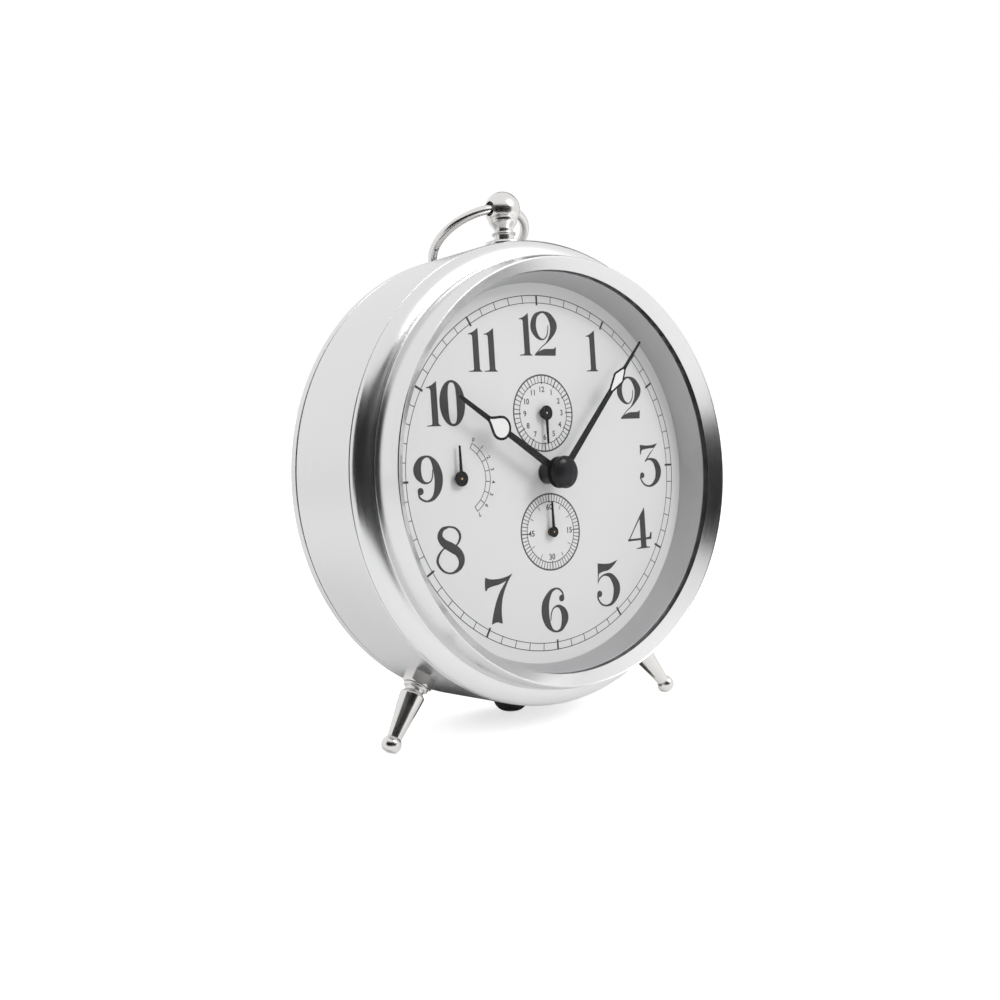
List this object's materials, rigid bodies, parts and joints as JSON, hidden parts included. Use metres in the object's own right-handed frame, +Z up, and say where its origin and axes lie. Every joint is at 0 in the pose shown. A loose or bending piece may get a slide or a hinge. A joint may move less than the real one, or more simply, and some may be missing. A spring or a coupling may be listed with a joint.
{
  "type": "mechanical alarm clock",
  "caption": "Round drum clock on two turned legs and a rear foot, with a top ring, glazed dial, hands, and a wound movement and alarm train inside.",
  "frame": {"origin": "on the surface under the clock, below the middle of its outer box", "axes": "+Z up, -Y to the front where the dial faces, +X to the right as one reads the dial; the dial leans back 5 degrees"},
  "size_m": [0.1206, 0.0564, 0.1386],
  "materials": {
    "satin_case": "satin",
    "glass": "clear, domed",
    "satin_ring": "satin grey",
    "dial": "matt white, printed",
    "chrome": "polished",
    "brass": "lacquered",
    "steel": "bright",
    "spring_steel": "blued",
    "black": "gloss black"
  },
  "bodies": {
    "case": {"case_drum": "satin_case", "front_bezel": "satin_case", "glass": "glass", "inner_ring": "satin_ring", "dial": "dial", "back_cover": "satin_case", "cover_screws": "steel", "leg_left": "chrome", "leg_right": "chrome", "rear_foot": "chrome", "case_nuts": "steel", "finial": "chrome", "front_plate": "brass", "back_plate": "brass", "pillars": "brass", "movement_screws": "steel", "case_posts": "brass", "hairspring": "spring_steel", "balance_bridge": "brass", "bell": "steel"},
    "carry_ring": {"top_ring": "chrome"},
    "minute_group": {"centre_arbor": "steel", "clutch_spring": "spring_steel", "set_knob": "steel", "minute_hand": "black", "hand_cap": "black"},
    "minute_gear": {"minute_wheel": "brass"},
    "hour_group": {"hour_wheel": "brass", "hour_hand": "black"},
    "alarm_gear": {"alarm_wheel": "brass"},
    "seconds_group": {"fourth_wheel": "brass", "seconds_hand": "black"},
    "third_gear": {"third_wheel": "brass"},
    "centre_gear": {"centre_wheel": "brass"},
    "second_gear": {"second_wheel": "brass"},
    "going_barrel": {"mainspring_barrel": "brass", "mainspring": "spring_steel"},
    "escape_gear": {"escape_wheel": "brass"},
    "lever": {"pallet_lever": "steel"},
    "balance": {"balance_wheel": "brass"},
    "index": {"regulator": "steel"},
    "winding_group": {"barrel_arbor": "steel", "ratchet_wheel": "steel", "time_key": "steel"},
    "idler_gear": {"reserve_idler": "brass"},
    "reserve_group": {"reserve_wheel": "brass", "reserve_hand": "black"},
    "winding_click": {"click": "steel"},
    "alarm_winding_group": {"alarm_barrel_arbor": "steel", "alarm_ratchet": "steel", "alarm_key": "steel"},
    "alarm_winding_click": {"alarm_click": "steel"},
    "alarm_going_barrel": {"alarm_barrel": "brass", "alarm_spring": "spring_steel"},
    "star_gear": {"star_wheel": "brass"},
    "hammer_arm": {"hammer": "steel"},
    "alarm_setting_group": {"alarm_arbor": "steel", "alarm_hand": "black", "alarm_knob": "steel"},
    "alarm_stop": {"stop_button": "chrome"}
  },
  "joints": [
    {"name": "ring_swing", "type": "hinge", "parent": "case", "child": "carry_ring", "pos_m": [0, 0.00608, 0.13391], "axis": [1, 0, 0], "range_deg": [0, 243]},
    {"name": "minute_turn", "type": "hinge", "parent": "case", "child": "minute_group", "pos_m": [0, -0.0015, 0.0645], "axis": [0, 0.9962, -0.0872], "continuous": true},
    {"name": "minute_gear_turn", "type": "hinge", "parent": "case", "child": "minute_gear", "pos_m": [0.00962, -0.00748, 0.06502], "axis": [0, 0.9962, -0.0872], "continuous": true},
    {"name": "hour_turn", "type": "hinge", "parent": "case", "child": "hour_group", "pos_m": [0, -0.00947, 0.0652], "axis": [0, 0.9962, -0.0872], "continuous": true},
    {"name": "alarm_gear_turn", "type": "hinge", "parent": "case", "child": "alarm_gear", "pos_m": [0, -0.00813, 0.08054], "axis": [0, 0.9962, -0.0872], "continuous": true},
    {"name": "seconds_turn", "type": "hinge", "parent": "case", "child": "seconds_group", "pos_m": [0, -0.00282, 0.04936], "axis": [0, 0.9962, -0.0872], "continuous": true},
    {"name": "third_turn", "type": "hinge", "parent": "case", "child": "third_gear", "pos_m": [0.01193, -0.00227, 0.05565], "axis": [0, 0.9962, -0.0872], "continuous": true},
    {"name": "centre_turn", "type": "hinge", "parent": "case", "child": "centre_gear", "pos_m": [0, -0.0015, 0.0645], "axis": [0, 0.9962, -0.0872], "continuous": true},
    {"name": "second_turn", "type": "hinge", "parent": "case", "child": "second_gear", "pos_m": [-0.01574, -0.00155, 0.06392], "axis": [0, 0.9962, -0.0872], "continuous": true},
    {"name": "barrel_turn", "type": "hinge", "parent": "case", "child": "going_barrel", "pos_m": [-0.03, -0.00289, 0.04856], "axis": [0, 0.9962, -0.0872], "continuous": true},
    {"name": "escape_turn", "type": "hinge", "parent": "case", "child": "escape_gear", "pos_m": [0.00677, -0.00361, 0.04041], "axis": [0, 0.9962, -0.0872], "continuous": true},
    {"name": "lever_swing", "type": "hinge", "parent": "case", "child": "lever", "pos_m": [0.01534, -0.00367, 0.03966], "axis": [0, 0.9962, -0.0872], "range_deg": [-3.5, 3.5]},
    {"name": "balance_swing", "type": "hinge", "parent": "case", "child": "balance", "pos_m": [0.0253, -0.00076, 0.03853], "axis": [0, 0.9962, -0.0872], "range_deg": [-200, 200], "stiffness_Nm_per_rad": 0.0000075},
    {"name": "index_turn", "type": "hinge", "parent": "case", "child": "index", "pos_m": [0.0253, 0.00721, 0.03784], "axis": [0, 0.9962, -0.0872], "range_deg": [-20, 20]},
    {"name": "winding_turn", "type": "hinge", "parent": "case", "child": "winding_group", "pos_m": [-0.03, -0.00289, 0.04856], "axis": [0, 0.9962, -0.0872], "range_deg": [0, 2520]},
    {"name": "idler_turn", "type": "hinge", "parent": "case", "child": "idler_gear", "pos_m": [-0.03297, -0.00812, 0.05765], "axis": [0, 0.9962, -0.0872], "range_deg": [-600, 0]},
    {"name": "reserve_turn", "type": "hinge", "parent": "case", "child": "reserve_group", "pos_m": [-0.0283, -0.00947, 0.0652], "axis": [0, 0.9962, -0.0872], "range_deg": [0, 150]},
    {"name": "click_lift", "type": "hinge", "parent": "case", "child": "winding_click", "pos_m": [-0.02479, 0.00728, 0.03861], "axis": [0, 0.9962, -0.0872], "range_deg": [-8, 0]},
    {"name": "alarm_winding_turn", "type": "hinge", "parent": "case", "child": "alarm_winding_group", "pos_m": [0.028, 0.00007, 0.08243], "axis": [0, 0.9962, -0.0872], "range_deg": [0, 1440]},
    {"name": "alarm_click_lift", "type": "hinge", "parent": "case", "child": "alarm_winding_click", "pos_m": [0.0347, 0.01172, 0.08943], "axis": [0, 0.9962, -0.0872], "range_deg": [-8, 0]},
    {"name": "alarm_barrel_turn", "type": "hinge", "parent": "case", "child": "alarm_going_barrel", "pos_m": [0.028, 0.00007, 0.08243], "axis": [0, 0.9962, -0.0872], "continuous": true},
    {"name": "star_turn", "type": "hinge", "parent": "case", "child": "star_gear", "pos_m": [0.01402, 0.00099, 0.09292], "axis": [0, 0.9962, -0.0872], "continuous": true},
    {"name": "hammer_swing", "type": "hinge", "parent": "case", "child": "hammer_arm", "pos_m": [0.00613, 0.00124, 0.09579], "axis": [0, 0.9962, -0.0872], "range_deg": [-3, 3]},
    {"name": "alarm_setting_turn", "type": "hinge", "parent": "case", "child": "alarm_setting_group", "pos_m": [0, -0.00016, 0.07984], "axis": [0, 0.9962, -0.0872], "continuous": true},
    {"name": "stop_slide", "type": "slide", "parent": "case", "child": "alarm_stop", "axis": [0, 0.9962, -0.0872], "range_m": [0, 0.003]}
  ],
  "couplings": [
    {"joint": "minute_gear_turn", "follows": "minute_turn", "ratio": -0.33333},
    {"joint": "hour_turn", "follows": "minute_turn", "ratio": 0.083333},
    {"joint": "alarm_gear_turn", "follows": "minute_turn", "ratio": -0.083333},
    {"joint": "third_turn", "follows": "seconds_turn", "ratio": -0.125},
    {"joint": "centre_turn", "follows": "seconds_turn", "ratio": 0.016667},
    {"joint": "second_turn", "follows": "seconds_turn", "ratio": -0.0041667},
    {"joint": "barrel_turn", "follows": "seconds_turn", "ratio": 0.00069444},
    {"joint": "escape_turn", "follows": "seconds_turn", "ratio": -8},
    {"joint": "idler_turn", "follows": "winding_turn", "ratio": -0.2381},
    {"joint": "reserve_turn", "follows": "winding_turn", "ratio": 0.059524},
    {"joint": "star_turn", "follows": "alarm_barrel_turn", "ratio": -6}
  ]
}
